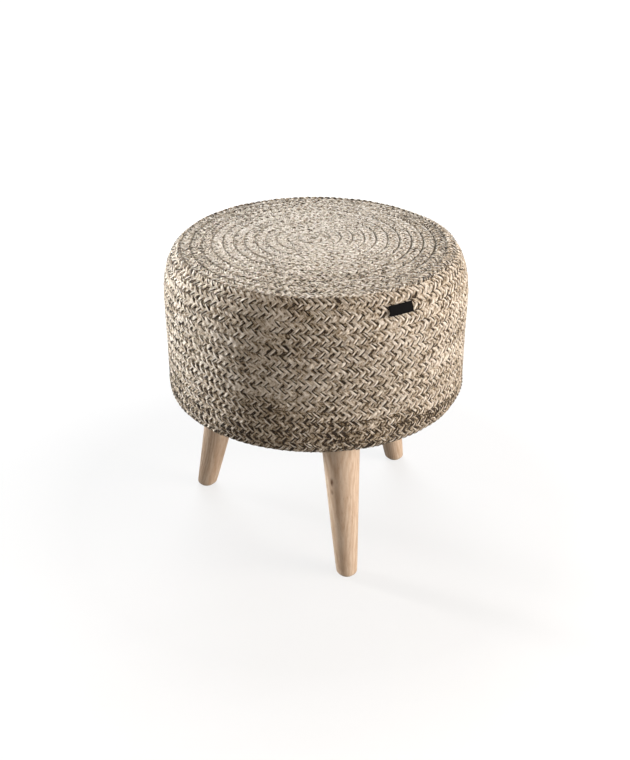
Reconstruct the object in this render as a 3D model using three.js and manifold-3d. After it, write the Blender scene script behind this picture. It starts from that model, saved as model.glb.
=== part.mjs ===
// A mudda stool: a round, soft drum in a spiral-sewn braided cover, on three turned, splayed legs.
// Millimetres, +Z up. The origin is on the floor under the middle of the drum, and the front leg
// points along -Y.

import * as THREE from "three";
import { mergeVertices, toCreasedNormals } from "three/addons/utils/BufferGeometryUtils.js";
import Module from "manifold-3d";

const wasm = await Module();
wasm.setup();

// Fits
const fit = 0.3; // clear space between two pieces that touch
const overrun = 2; // how far a cutter runs past the face that it opens

// Drum outline, over the crests of the braid
const seatHeight = 410; // floor to the middle of the seat
const drumRadius = 200;
const drumUnderside = 200; // floor to the lowest face of the cover
const crownRise = 5; // the middle of the seat over its rim
const shoulderReach = 22; // the soft upper edge, measured across
const shoulderDrop = 66; // and measured down
const hemRise = 20; // the soft lower edge, measured up

// Cover, liner and foam
const coverThickness = 6;
const braidWidth = 14.5; // one turn of the braid to the next
const channelDepth = 1.6; // the sewn channel between two turns
const plainCentreRadius = 35; // the tight start of the spiral
const hemTurn = 14.3; // how far the cover runs in under the boards
const linerThickness = 0.8;
const padThickness = 45; // the seat foam in the middle
const wrapThickness = 20; // the side foam

// Core of the drum
const skinThickness = 3;
const topBoardThickness = 12;
const baseBoardThickness = 15;
const postWidth = 28;
const postCount = 6;

// Woven label on the front right of the shoulder
const labelWidth = 34;
const labelHeight = 12.5;
const labelThickness = 0.8;
const labelAngle = 17; // degrees round from the front leg
const labelDown = 25; // from the start of the shoulder to the label's middle, along the cover

// Legs
const legStations = [["front", 0], ["right", 120], ["left", 240]]; // degrees round from the front
const legSplay = THREE.MathUtils.degToRad(12.5);
const legTopRadius = 26;
const footRadius = 14;
const footEdge = 4; // rounding of the wood at the foot
const legTopEdge = 1.5; // rounding of the wood at the top
const footBlendHeight = 40; // height over which the level foot turns square to the leg's axis

// Leg plates, with a slanted boss for the bolt
const plateRim = 2; // the plate's edge outside the leg
const plateHemGap = 1.2; // the plate's corner to the cover's hem
const plateThickness = 2.5;
const plateCorner = 8;
const plateScrewEdge = 5.5; // screw centre to the plate's edge
const bossRadius = 13;

// Hanger bolts, 8 mm
const boltRadius = 4;
const boltInLeg = 30;
const boltAboveLeg = 20;
const boltTip = 1; // chamfer at both ends
const boltClearance = 2; // round the bolt in the base board and the dust cover

// Countersunk screws through the boards into the posts, 4 x 40 mm
const postScrewLength = 40;
const postScrewRadius = 2;
const postScrewHeadRadius = 4;
const postScrewHeadDepth = 2.4;

// Pan-head screws through the leg plates, 4 x 14 mm
const plateScrewLength = 14;
const plateScrewRadius = 2;
const plateScrewHeadRadius = 3.6;
const plateScrewHeadHeight = 2.2;
const plateScrewHeadFlat = 2.2; // radius of the head's flat end
const screwTip = 3; // the pointed end of every screw

// Nail-on glides
const glideRadius = 10;
const glideHeight = 2;
const glideEdge = 0.8;
const glidePinRadius = 1.25;
const glidePinLength = 15;

// How finely round shapes are faceted
const drumSides = 36;
const legSides = 20;
const boltSides = 12;
const screwSides = 8;
const glideSides = 12;
const arcSteps = 3;
const outlineSteps = 2;
const labelSteps = 4;
const channelTurnCount = 24; // turns of the channel that are shown, where the cover is long enough

// Levels and radii that follow from the driving values
const linerDepth = coverThickness + fit;
const foamDepth = linerDepth + linerThickness + fit;
const skinOuter = drumRadius - foamDepth - wrapThickness - fit;
const skinInner = skinOuter - skinThickness;
const boardRadius = skinInner - fit;
const hemReach = drumRadius - skinOuter;
const hemInnerRadius = skinOuter - hemTurn;
const padBottom = seatHeight - foamDepth - padThickness;
const topBoardTop = padBottom - fit;
const topBoardBottom = topBoardTop - topBoardThickness;
const baseBoardBottom = drumUnderside + foamDepth;
const baseBoardTop = baseBoardBottom + baseBoardThickness;
const dustCoverBottom = drumUnderside + linerDepth;
const plateBottom = dustCoverBottom - fit - plateThickness;
const fullTurn = 2 * Math.PI;
const creaseAngle = THREE.MathUtils.degToRad(35); // edges sharper than this stay crisp

// Closed surfaces and solids

// A closed surface with each corner held once and no triangle without area
function welded(geometry) {
  geometry.deleteAttribute("normal");
  geometry.deleteAttribute("uv");
  const merged = mergeVertices(geometry);
  const corners = merged.index.array;
  const kept = [];
  for (let i = 0; i < corners.length; i += 3) {
    const [a, b, c] = corners.subarray(i, i + 3);
    if (a !== b && b !== c && c !== a) {
      kept.push(a, b, c);
    }
  }
  return merged.setIndex(kept);
}

// A solid that can be joined and cut
function solidOf(surface) {
  return new wasm.Manifold(new wasm.Mesh({
    numProp: 3,
    vertProperties: surface.attributes.position.array,
    triVerts: new Uint32Array(surface.index.array),
  }));
}

function geometryOf(solid) {
  const mesh = solid.getMesh();
  const geometry = new THREE.BufferGeometry();
  geometry.setAttribute("position", new THREE.BufferAttribute(mesh.vertProperties, mesh.numProp));
  geometry.setIndex(new THREE.BufferAttribute(mesh.triVerts, 1));
  return geometry;
}

function cut(solid, cutters) {
  let rest = solid;
  for (const cutter of cutters) {
    rest = rest.subtract(solidOf(cutter));
  }
  return geometryOf(rest);
}

// Round shapes about the Z axis, from a profile of [radius, height] that runs upwards on the outside
function turned(profile, sides) {
  const points = profile.map(([radius, height]) => new THREE.Vector2(radius, height));
  return welded(new THREE.LatheGeometry(points, sides)).rotateX(Math.PI / 2);
}

function rod(radius, from, to, sides) {
  return turned([[0, from], [radius, from], [radius, to], [0, to]], sides);
}

function tube(inner, outer, from, to, sides) {
  return turned([[inner, from], [outer, from], [outer, to], [inner, to], [inner, from]], sides);
}

// A closed skin through rows of points, each row running once round
function skinThrough(rows) {
  const across = rows[0].length;
  const corners = [];
  for (let k = 0; k + 1 < rows.length; k++) {
    for (let j = 0; j + 1 < across; j++) {
      const a = k * across + j;
      const c = a + across;
      corners.push(a, a + 1, c, a + 1, c + 1, c);
    }
  }
  const places = rows.flat().flatMap((point) => point.toArray());
  const geometry = new THREE.BufferGeometry();
  geometry.setAttribute("position", new THREE.Float32BufferAttribute(places, 3));
  geometry.setIndex(corners);
  return welded(geometry);
}

function steps(count) {
  return Array.from({ length: count + 1 }, (_, i) => i / count);
}

// A point at a radius and height, turned round the drum from the front leg
function spun(radius, height, angle) {
  return new THREE.Vector3(radius * Math.sin(angle), -radius * Math.cos(angle), height);
}

// Drum outline

// From the middle of the seat over the shoulder, down the side and in under the hem, moved inwards
// by a depth.
function drumOutline(depth) {
  const top = seatHeight - depth;
  const shoulderRadius = drumRadius - shoulderReach;
  const shoulderTop = top - crownRise;
  const shoulderBottom = shoulderTop - (shoulderDrop - depth);
  const hemTop = drumUnderside + hemRise;
  const path = new THREE.Path();
  path.moveTo(0, top);
  path.quadraticCurveTo(shoulderRadius / 2, top, shoulderRadius, shoulderTop);
  path.absellipse(shoulderRadius, shoulderBottom, shoulderReach - depth, shoulderDrop - depth,
    Math.PI / 2, 0, true);
  path.lineTo(drumRadius - depth, hemTop);
  path.absellipse(skinOuter, hemTop, hemReach - depth, hemRise - depth, 0, -Math.PI / 2, true);
  return path;
}

function outlinePoints(depth) {
  return drumOutline(depth).getPoints(outlineSteps).map((point) => [point.x, point.y]);
}

// The upward run of an outline, from its hem to the middle of the seat
function outlineUp(depth) {
  return outlinePoints(depth).reverse();
}

// The whole drum inside an outline
function drumCore(depth) {
  return solidOf(turned([[0, drumUnderside + depth], ...outlineUp(depth)], drumSides));
}

const coverPath = drumOutline(0);
const coverPathLength = coverPath.getLength();

// A point of the cover at a distance from the middle of the seat, lifted off it
function coverPoint(distance, lift, angle) {
  const share = distance / coverPathLength;
  const place = coverPath.getPoint(share);
  const along = coverPath.getTangent(share);
  return spun(place.x - along.y * lift, place.y + along.x * lift, angle);
}

// Soft pieces

// One braid, sewn edge to edge in a spiral, is shown as a spiral channel between its turns. Rows of
// crest and channel alternate, and each row ends where the next but one begins.
function channelRows() {
  const start = plainCentreRadius;
  const turns = Math.min(channelTurnCount, Math.floor((coverPathLength - start) / braidWidth));
  const end = start + turns * braidWidth;
  const rows = [];
  for (let half = -2; half <= 2 * turns; half++) {
    const isChannel = half % 2 === 0;
    rows.push(steps(drumSides).map((share) => {
      const distance = THREE.MathUtils.clamp(start + braidWidth * (half / 2 + share), start, end);
      const fade = Math.min(1, (distance - start) / braidWidth, (end - distance) / braidWidth);
      return coverPoint(distance, isChannel ? -channelDepth * fade : 0, share * fullTurn);
    }));
  }
  const rest = steps(outlineSteps).map((share) => THREE.MathUtils.lerp(end, coverPathLength, share));
  const plain = rest.slice(1).map((distance) => ringOf((angle) => coverPoint(distance, 0, angle)));
  return [...rows, ...plain];
}

function ringOf(pointAt) {
  return steps(drumSides).map((share) => pointAt(share * fullTurn));
}

function braidedCover() {
  const innerRun = [...outlinePoints(coverThickness), [hemInnerRadius, drumUnderside + coverThickness]];
  const inner = innerRun.reverse().map(([radius, height]) => ringOf((a) => spun(radius, height, a)));
  const middle = ringOf((angle) => spun(0, seatHeight, angle));
  const hem = ringOf((angle) => spun(hemInnerRadius, drumUnderside, angle));
  return skinThrough([middle, ...channelRows(), hem, ...inner].reverse());
}

function innerLiner() {
  return turned([
    ...outlinePoints(linerDepth + linerThickness),
    [hemInnerRadius, dustCoverBottom + linerThickness],
    [hemInnerRadius, dustCoverBottom],
    ...outlineUp(linerDepth),
  ], drumSides);
}

function topFoamPad() {
  const slab = rod(drumRadius + overrun, padBottom, seatHeight + overrun, drumSides);
  return geometryOf(drumCore(foamDepth).intersect(solidOf(slab)));
}

function sideFoamWrap() {
  const ring = tube(skinOuter + fit, drumRadius + overrun, drumUnderside, topBoardTop, drumSides);
  return geometryOf(drumCore(foamDepth).intersect(solidOf(ring)));
}

function dustCover() {
  const sheet = rod(hemInnerRadius - fit, dustCoverBottom, dustCoverBottom + linerThickness, drumSides);
  return cut(solidOf(sheet), stationCutters());
}

// A strip that lies on the crests of the braid
function sideLabel() {
  const middle = coverPath.curves[0].getLength() + labelDown;
  const top = middle - labelHeight / 2;
  const turn = labelWidth / drumRadius;
  const turnFrom = THREE.MathUtils.degToRad(labelAngle) - turn / 2;
  const run = (lift, angle) => steps(arcSteps)
    .map((share) => coverPoint(top + share * labelHeight, lift, angle));
  const sections = steps(labelSteps).map((share) => {
    const under = run(fit, turnFrom + share * turn);
    const over = run(fit + labelThickness, turnFrom + share * turn);
    return [...under, ...over.reverse(), under[0]];
  });
  return skinThrough([closing(sections[0]), ...sections, closing(sections.at(-1))].reverse());
}

// A row that shrinks to the middle of its neighbour and so closes the skin there
function closing(row) {
  const middle = new THREE.Vector3();
  for (const point of row.slice(1)) {
    middle.add(point);
  }
  middle.divideScalar(row.length - 1);
  return row.map(() => middle);
}

// Screws and their holes

// A countersunk screw points down from its head's face at the origin. Its hole is grown all round.
function countersunkRun(growth) {
  const shank = postScrewRadius + growth;
  return [
    [0, -postScrewLength - growth],
    [shank, screwTip - postScrewLength - growth],
    [shank, -postScrewHeadDepth - growth],
    [postScrewHeadRadius + growth, 0],
  ];
}

function countersunkScrew() {
  return turned([...countersunkRun(0), [0, 0]], screwSides);
}

function countersunkHole() {
  const mouth = postScrewHeadRadius + fit;
  return turned([...countersunkRun(fit), [mouth, overrun], [0, overrun]], screwSides);
}

// A pan-head screw that points up from the underside of what it holds
function panHeadScrew() {
  return turned([
    [0, -plateScrewHeadHeight],
    [plateScrewHeadFlat, -plateScrewHeadHeight],
    [plateScrewHeadRadius, -plateScrewHeadHeight / 2],
    [plateScrewHeadRadius, 0],
    [plateScrewRadius, 0],
    [plateScrewRadius, plateScrewLength - screwTip],
    [0, plateScrewLength],
  ], screwSides);
}

// Boards, posts and skin

const postPlaceRadius = Math.sqrt(
  (skinInner * Math.cos(Math.PI / drumSides) - fit) ** 2 - (postWidth / 2) ** 2,
) - postWidth / 2;
const postAngles = Array.from({ length: postCount }, (_, i) => (i + 0.5) * fullTurn / postCount);

function postCutters(height, pointsUp) {
  return postAngles.map((angle) => {
    const hole = countersunkHole().rotateX(pointsUp ? Math.PI : 0);
    return hole.translate(0, -postPlaceRadius, height).rotateZ(angle);
  });
}

// A thin bent tube round both boards
function drumSkin() {
  return tube(skinInner, skinOuter, baseBoardBottom, topBoardTop, drumSides);
}

function topBoard() {
  const board = rod(boardRadius, topBoardBottom, topBoardTop, drumSides);
  return cut(solidOf(board), postCutters(topBoardTop, false));
}

function baseBoard() {
  const board = rod(boardRadius, baseBoardBottom, baseBoardTop, drumSides);
  return cut(solidOf(board), [...postCutters(baseBoardBottom, true), ...stationCutters()]);
}

const postBottom = baseBoardTop + fit;
const postLength = topBoardBottom - fit - postBottom;

function post() {
  const bar = welded(new THREE.BoxGeometry(postWidth, postWidth, postLength));
  const upper = countersunkHole().translate(0, 0, topBoardTop - postBottom);
  const lower = countersunkHole().rotateX(Math.PI).translate(0, 0, baseBoardBottom - postBottom);
  return cut(solidOf(bar.translate(0, 0, postLength / 2)), [upper, lower]);
}

// Legs, plates and bolts

// Each leg station is drawn in its own frame, with +X pointing outwards, and then turned round the
// drum. A plate's origin is the middle of its underside, where the leg's axis crosses it.
const plateHalf = legTopRadius + plateRim;
const plateScrewPlace = plateHalf - plateScrewEdge;
const cornerPlace = plateHalf - plateCorner;
const plateReach = hemInnerRadius * Math.cos(Math.PI / drumSides) - plateHemGap - plateCorner;
const plateX = Math.sqrt(plateReach ** 2 - cornerPlace ** 2) - cornerPlace;
const footX = plateX + plateBottom * Math.tan(legSplay);
const glideX = footX - (glideHeight + fit) * Math.tan(legSplay);
const legAxisLength = plateBottom / Math.cos(legSplay);
const bossDrop = (legTopRadius * Math.sin(legSplay) + fit) / Math.cos(legSplay);
const legTopAlong = legAxisLength - bossDrop;
const footAlong = (glideHeight + fit) / Math.cos(legSplay);
const plateCornerShares = [[1, 1], [-1, 1], [-1, -1], [1, -1]];
const plateScrewPlaces = plateCornerShares.map(([x, y]) => [x * plateScrewPlace, y * plateScrewPlace]);

function leaned(geometry) {
  return geometry.rotateY(-legSplay);
}

// What the screws and the bolt of every plate take out of the board and the cloth above it
function stationCutters() {
  const boltHole = boltRadius + boltClearance;
  const reach = (baseBoardTop - plateBottom + boltHole) / Math.cos(legSplay);
  return legStations.flatMap(([, degrees]) => {
    const bolt = leaned(rod(boltHole, 0, reach, boltSides));
    const cutters = [bolt, ...plateScrewHoles(plateScrewLength + fit)];
    return cutters.map((cutter) => cutter.translate(plateX, 0, plateBottom).rotateZ(stationTurn(degrees)));
  });
}

function stationTurn(degrees) {
  return THREE.MathUtils.degToRad(degrees) - Math.PI / 2;
}

function plateScrewHoles(depth) {
  return plateScrewPlaces.map(([x, y]) => {
    return rod(plateScrewRadius + fit, -overrun, depth, screwSides).translate(x, y, 0);
  });
}

function plateOutline() {
  const outline = new THREE.Shape();
  const middle = new THREE.Vector2();
  for (let quarter = 0; quarter < 4; quarter++) {
    const from = quarter * Math.PI / 2;
    const centre = new THREE.Vector2(cornerPlace, cornerPlace).rotateAround(middle, from);
    outline.absarc(centre.x, centre.y, plateCorner, from, from + Math.PI / 2);
  }
  return outline;
}

function legPlate() {
  const sheet = new THREE.ExtrudeGeometry(plateOutline(), {
    depth: plateThickness,
    bevelEnabled: false,
    curveSegments: arcSteps,
  });
  const boss = leaned(rod(bossRadius, fit - bossDrop, plateHalf, legSides));
  const underPlate = rod(plateHalf, -plateHalf, plateThickness / 2, legSides);
  const bore = leaned(rod(boltRadius + fit, -plateHalf, plateHalf, boltSides));
  const joined = solidOf(welded(sheet)).add(solidOf(boss).intersect(solidOf(underPlate)));
  return cut(joined, [bore, ...plateScrewHoles(plateThickness + overrun)]);
}

// The wood is turned round its own axis, and its foot is cut level with the floor.
function legRing(radius, along, lean) {
  return steps(legSides).map((share) => {
    const x = radius * Math.cos(share * fullTurn);
    return new THREE.Vector3(x, radius * Math.sin(share * fullTurn), along + lean * x);
  });
}

function leg() {
  const level = -Math.tan(legSplay);
  const blendRadius = THREE.MathUtils.lerp(footRadius, legTopRadius, footBlendHeight / (legTopAlong - footAlong));
  const footRings = steps(arcSteps).map((share) => {
    const turn = share * Math.PI / 2;
    const radius = footRadius - footEdge * (1 - Math.sin(turn));
    return legRing(radius, footAlong + footEdge * (1 - Math.cos(turn)), level);
  });
  const topRings = steps(arcSteps).map((share) => {
    const turn = share * Math.PI / 2;
    const radius = legTopRadius - legTopEdge * (1 - Math.cos(turn));
    return legRing(radius, legTopAlong - legTopEdge * (1 - Math.sin(turn)), 0);
  });
  const wood = skinThrough([
    legRing(0, footAlong, level),
    ...footRings,
    legRing(blendRadius, footAlong + footBlendHeight, 0),
    ...topRings,
    legRing(0, legTopAlong, 0),
  ]);
  const bore = rod(boltRadius + fit, legTopAlong - boltInLeg - fit, legTopAlong + overrun, boltSides);
  const pin = rod(glidePinRadius + fit, 0, glideHeight + glidePinLength + fit, screwSides);
  return cut(solidOf(wood), [bore, pin.translate(glideX - footX, 0, 0).rotateY(legSplay)]);
}

function hangerBolt() {
  const bottom = -boltInLeg;
  return turned([
    [0, bottom],
    [boltRadius - boltTip, bottom],
    [boltRadius, bottom + boltTip],
    [boltRadius, boltAboveLeg - boltTip],
    [boltRadius - boltTip, boltAboveLeg],
    [0, boltAboveLeg],
  ], boltSides);
}

function footGlide() {
  return turned([
    [0, 0],
    [glideRadius - glideEdge, 0],
    [glideRadius, glideEdge],
    [glideRadius, glideHeight],
    [glidePinRadius, glideHeight],
    [glidePinRadius, glideHeight + glidePinLength],
    [0, glideHeight + glidePinLength],
  ], glideSides);
}

// Finishes

const finishes = {
  braid: { color: 0x9c8c7b, roughness: 0.95, metalness: 0 },
  liner: { color: 0xd8cfc0, roughness: 0.95, metalness: 0 },
  foam: { color: 0xe9e2c8, roughness: 0.9, metalness: 0 },
  hardboard: { color: 0x7a5a3e, roughness: 0.8, metalness: 0 },
  plywood: { color: 0xd2b48c, roughness: 0.75, metalness: 0 },
  softwood: { color: 0xdcc096, roughness: 0.7, metalness: 0 },
  legWood: { color: 0xd9bd97, roughness: 0.55, metalness: 0 },
  dustCloth: { color: 0x1c1b1a, roughness: 0.95, metalness: 0 },
  label: { color: 0x151414, roughness: 0.85, metalness: 0 },
  zinc: { color: 0xb8bcc0, roughness: 0.35, metalness: 1 },
  glidePlastic: { color: 0xd8cbb4, roughness: 0.5, metalness: 0 },
};

function piece(name, surface, finish) {
  const mesh = new THREE.Mesh(toCreasedNormals(surface, creaseAngle), new THREE.MeshStandardMaterial(finish));
  mesh.name = name;
  return mesh;
}

// Assembly

const stool = new THREE.Group();
stool.add(
  piece("braided_cover", braidedCover(), finishes.braid),
  piece("inner_liner", innerLiner(), finishes.liner),
  piece("top_foam_pad", topFoamPad(), finishes.foam),
  piece("side_foam_wrap", sideFoamWrap(), finishes.foam),
  piece("drum_skin", drumSkin(), finishes.hardboard),
  piece("top_board", topBoard(), finishes.plywood),
  piece("base_board", baseBoard(), finishes.plywood),
  piece("dust_cover", dustCover(), finishes.dustCloth),
  piece("side_label", sideLabel(), finishes.label),
);

for (const [i, angle] of postAngles.entries()) {
  const station = new THREE.Group();
  station.rotation.z = angle;
  const bar = piece(`post_${i + 1}`, post(), finishes.softwood);
  const upper = piece(`post_screw_top_${i + 1}`, countersunkScrew(), finishes.zinc);
  const lower = piece(`post_screw_base_${i + 1}`, countersunkScrew(), finishes.zinc);
  bar.position.set(0, -postPlaceRadius, postBottom);
  upper.position.set(0, -postPlaceRadius, topBoardTop);
  lower.position.set(0, -postPlaceRadius, baseBoardBottom);
  lower.rotation.x = Math.PI;
  station.add(bar, upper, lower);
  stool.add(station);
}

for (const [name, degrees] of legStations) {
  const station = new THREE.Group();
  station.rotation.z = stationTurn(degrees);

  const plate = piece(`leg_plate_${name}`, legPlate(), finishes.zinc);
  plate.position.set(plateX, 0, plateBottom);
  station.add(plate);
  for (const [i, [x, y]] of plateScrewPlaces.entries()) {
    const screw = piece(`plate_screw_${name}_${i + 1}`, panHeadScrew(), finishes.zinc);
    screw.position.set(plateX + x, y, plateBottom - fit);
    station.add(screw);
  }

  const glide = piece(`foot_glide_${name}`, footGlide(), finishes.glidePlastic);
  glide.position.x = glideX;
  station.add(glide);

  const axis = new THREE.Group();
  axis.position.x = footX;
  axis.rotation.y = -legSplay;
  const bolt = piece(`hanger_bolt_${name}`, hangerBolt(), finishes.zinc);
  bolt.position.z = legTopAlong;
  axis.add(piece(`leg_${name}`, leg(), finishes.legWood), bolt);
  station.add(axis);
  stool.add(station);
}

export default stool;
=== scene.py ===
# A mudda stool: a round, soft drum in a spiral-sewn plaited cover, on three turned, splayed legs.
# Metres, +Z up, in the frame of the CAD model. The front leg points along -Y.

import math
from functools import partial

import bmesh
import bpy
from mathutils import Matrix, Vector, noise


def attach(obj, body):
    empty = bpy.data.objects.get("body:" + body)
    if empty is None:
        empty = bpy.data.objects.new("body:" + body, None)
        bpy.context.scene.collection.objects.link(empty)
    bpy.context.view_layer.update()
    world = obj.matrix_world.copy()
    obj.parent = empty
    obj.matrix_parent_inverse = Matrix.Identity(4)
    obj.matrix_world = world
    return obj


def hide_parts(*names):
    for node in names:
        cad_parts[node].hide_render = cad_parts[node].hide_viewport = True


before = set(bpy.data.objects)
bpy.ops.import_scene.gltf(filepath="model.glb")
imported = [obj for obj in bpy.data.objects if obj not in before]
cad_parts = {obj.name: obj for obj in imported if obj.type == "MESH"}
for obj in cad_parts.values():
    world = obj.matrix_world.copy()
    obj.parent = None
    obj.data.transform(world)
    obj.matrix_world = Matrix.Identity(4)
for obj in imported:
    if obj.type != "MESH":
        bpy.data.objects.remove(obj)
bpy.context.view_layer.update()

# Camera
# It looks down on the stool from a little left of the front leg, as in the photograph. Its lens and
# its sensor are in millimetres.

VIEW_HEIGHT = math.radians(28.5)
VIEW_TURN = math.radians(-13.89)
VIEW_DISTANCE = 1.4477
VIEW_TARGET = Vector((-0.00124, 0.00031, 0.20251))
LENS = 49.48
SENSOR_WIDTH = 36

back = Vector((
    math.sin(VIEW_TURN) * math.cos(VIEW_HEIGHT),
    -math.cos(VIEW_TURN) * math.cos(VIEW_HEIGHT),
    math.sin(VIEW_HEIGHT),
))
camera = bpy.data.objects.new("camera", bpy.data.cameras.new("camera"))
camera.data.lens = LENS
camera.data.sensor_width = SENSOR_WIDTH
camera.location = VIEW_TARGET + VIEW_DISTANCE * back
camera.rotation_euler = (-back).to_track_quat("-Z", "Y").to_euler()
bpy.context.scene.collection.objects.link(camera)
bpy.context.scene.camera = camera
bpy.context.scene.view_settings.view_transform = "Standard"


# Boards
# Two round boards of birch plywood, sawn and sanded, stiffen the drum at its top and its base.
# The posts stand between them, and the legs are fixed under the lower one.

PLY_THICKNESS = 0.0015
FACE_SLOPE = 0.5  # a surface that points more up or down than this is a face, and else an edge


def linear(colour):
    """An sRGB hex colour as linear red, green, blue and alpha."""
    shares = [int(colour[i : i + 2], 16) / 255 for i in (1, 3, 5)]
    return [s / 12.92 if s <= 0.04045 else ((s + 0.055) / 1.055) ** 2.4 for s in shares] + [1]


def out_of(value):
    """The output of a node that is in use, or the value itself."""
    return next(s for s in value.outputs if s.enabled) if isinstance(value, bpy.types.Node) else value


def add_node(tree, kind, inputs=(), stops=(), **settings):
    """Adds a node with its settings, its inputs and, on a colour ramp, its stops.

    A kind in capitals is an operation of the Math node, a VectorMath kind is followed by its
    operation, and any other kind that doesn't say Node is a shader node. The inputs are values,
    sockets or other nodes, in a dict by socket or in a list from the first socket on. A stop is a
    share and an sRGB hex colour.
    """
    kind, _, operation = (f"Math {kind}" if kind.isupper() else kind).partition(" ")
    made = tree.nodes.new(kind if "Node" in kind else "ShaderNode" + kind)
    if operation:
        made.operation = operation
    for setting, value in settings.items():
        setattr(made, setting, value)
    for name, value in inputs.items() if isinstance(inputs, dict) else enumerate(inputs):
        value = out_of(value)
        if isinstance(value, bpy.types.NodeSocket):
            tree.links.new(value, made.inputs[name])
        else:
            made.inputs[name].default_value = value
    while stops and len(made.color_ramp.elements) < len(stops):
        made.color_ramp.elements.new(1)
    for mark, (share, colour) in zip(made.color_ramp.elements if stops else (), stops):
        mark.position = share
        mark.color = linear(colour)
    return made


def new_finish(name, **shares):
    """A material with the values that are the same all over it, what adds its nodes, and its shader."""
    material = bpy.data.materials.new(name)
    material.use_nodes = True
    shader = material.node_tree.nodes["Principled BSDF"]
    for socket, value in shares.items():
        shader.inputs[socket.replace("_", " ")].default_value = value
    return material, partial(add_node, material.node_tree), shader


def put_on(shader, colour, height, depth, roughness=None):
    """Links a colour, a bump of a real depth in metres and a roughness to the shader."""
    bump = add_node(shader.id_data, "Bump", {"Height": height, "Distance": depth})
    for socket, value in (("Base Color", colour), ("Normal", bump), ("Roughness", roughness)):
        if value is not None:
            shader.id_data.links.new(out_of(value), shader.inputs[socket])


def grain_of(add, fibres):
    """Noise drawn out along a board or a post; fibres are its repeats in each metre on each axis."""
    place = add("TexCoord")
    mapping = add("Mapping", {"Vector": place.outputs["Object"], "Scale": fibres})
    return add("TexNoise", {"Vector": mapping, "Scale": 1.0, "Detail": 6.0})


def dress(material, *names):
    """Gives CAD nodes a finish."""
    for name in names:
        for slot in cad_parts[name].material_slots:
            slot.material = material


# Birch plywood: pale, close-grained faces, and an edge of 1.5 mm plies, light and dark by turns. A Mix
# node of colours, here and below, has its colours in inputs 6 and 7 and its result in output 2.
plywood, add, shader = new_finish("birch_plywood_sanded", Roughness=0.62, IOR=1.5)
face = add("ValToRGB", [grain_of(add, (9, 160, 160))], [
    (0.3, "#c9a676"), (0.55, "#dcc096"), (0.8, "#e6d0aa")])
normal = add("NewGeometry")
upward = add("SeparateXYZ", [normal.outputs["Normal"]])
slope = add("ABSOLUTE", [upward.outputs["Z"]])
is_face = add("GREATER_THAN", [slope, FACE_SLOPE])
place = add("TexCoord")
level = add("SeparateXYZ", [place.outputs["Object"]])
ply = add("PINGPONG", [level.outputs["Z"], PLY_THICKNESS])
ply_share = add("MULTIPLY", [ply, 1 / PLY_THICKNESS])
edge = add("ValToRGB", [ply_share], [(0.4, "#8f6a3f"), (0.55, "#d2b283")])
wood = add("Mix", {0: is_face, 6: edge, 7: face}, data_type="RGBA")
put_on(shader, wood.outputs[2], grain_of(add, (12, 400, 400)), depth=0.0001)
dress(plywood, "top_board", "base_board")


# Posts
# Six square posts of pine stand in a ring between the boards. Each is planed, and screwed at both
# ends with one countersunk steel screw.

POST_NUMBERS = range(1, 7)

# Planed pine: yellow-brown, with darker late wood in long streaks up the post.
pine, add, shader = new_finish("pine_planed", Roughness=0.6, IOR=1.5)
streaks = grain_of(add, (150, 150, 5))
late_wood = add("ValToRGB", [streaks], [(0.32, "#b9823f"), (0.5, "#dcb071"), (0.75, "#ecca94")])
put_on(shader, late_wood, streaks, depth=0.0002)
dress(pine, *(f"post_{i}" for i in POST_NUMBERS))

# Zinc-plated steel: bright grey with the faint, cloudy patches of a passivated coat.
zinc, add, shader = new_finish("steel_zinc_plated", Metallic=1.0)
clouds = grain_of(add, (70, 70, 70))
coat = add("ValToRGB", [clouds], [(0.3, "#a9adad"), (0.55, "#c3c6c4"), (0.8, "#d2d2ca")])
dull = add("MapRange", {"Value": clouds, "To Min": 0.28, "To Max": 0.48})
put_on(shader, coat, grain_of(add, (900, 900, 900)), depth=0.00003, roughness=dull)
dress(zinc, *(f"post_screw_{end}_{i}" for end in ("top", "base") for i in POST_NUMBERS))


# Drum skin
# A sheet of 3 mm hardboard, bent to a tube round the boards and pinned to their edges.

# Hardboard: brown felted fibre, smooth outside, with the print of the press screen inside.
hardboard, add, shader = new_finish("hardboard_pressed", Roughness=0.55, IOR=1.5)
felt = grain_of(add, (500, 500, 500))
felt_colour = add("ValToRGB", [felt], [(0.3, "#5d3d22"), (0.5, "#7c5430"), (0.8, "#946a3f")])
put_on(shader, felt_colour, felt, depth=0.0002)
dress(hardboard, "drum_skin")


# Foam
# A thick pad of polyurethane foam lies on the top board under the seat, and a thinner sheet is wound
# round the skin. Both are glued down, and give the drum its round, soft edges. As in the photograph,
# the seat stands 2.5 mm higher than in the CAD model, and its edge is rounder.

SEAT_HEIGHT = 0.4125
DRUM_RADIUS = 0.200
DRUM_UNDERSIDE = 0.200
CROWN_RISE = 0.005
SHOULDER_REACH = 0.028
SHOULDER_DROP = 0.065
HEM_RISE = 0.020
HEM_REACH = 0.0277
HEM_TURN = 0.0143
SKIN_OUTER = 0.1723
PAD_BOTTOM = 0.3576
FOAM_DEPTH = 0.0074
FOAM_CELLS = 900.0  # in each metre
FIT = 0.0003  # the clear space between two pieces that touch
DRUM_SIDES = 96
FULL_TURN = 2 * math.pi


def spun(radius, height, angle):
    """A point at a radius and height, turned round the drum from the front leg."""
    return Vector((radius * math.sin(angle), -radius * math.cos(angle), height))


def quarter(middle, reach, rise, start, count):
    """A quarter of an ellipse about a middle, from a start angle on, clockwise."""
    turns = [start - math.pi / 2 * i / count for i in range(count + 1)]
    return [(middle[0] + reach * math.cos(t), middle[1] + rise * math.sin(t)) for t in turns]


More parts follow.
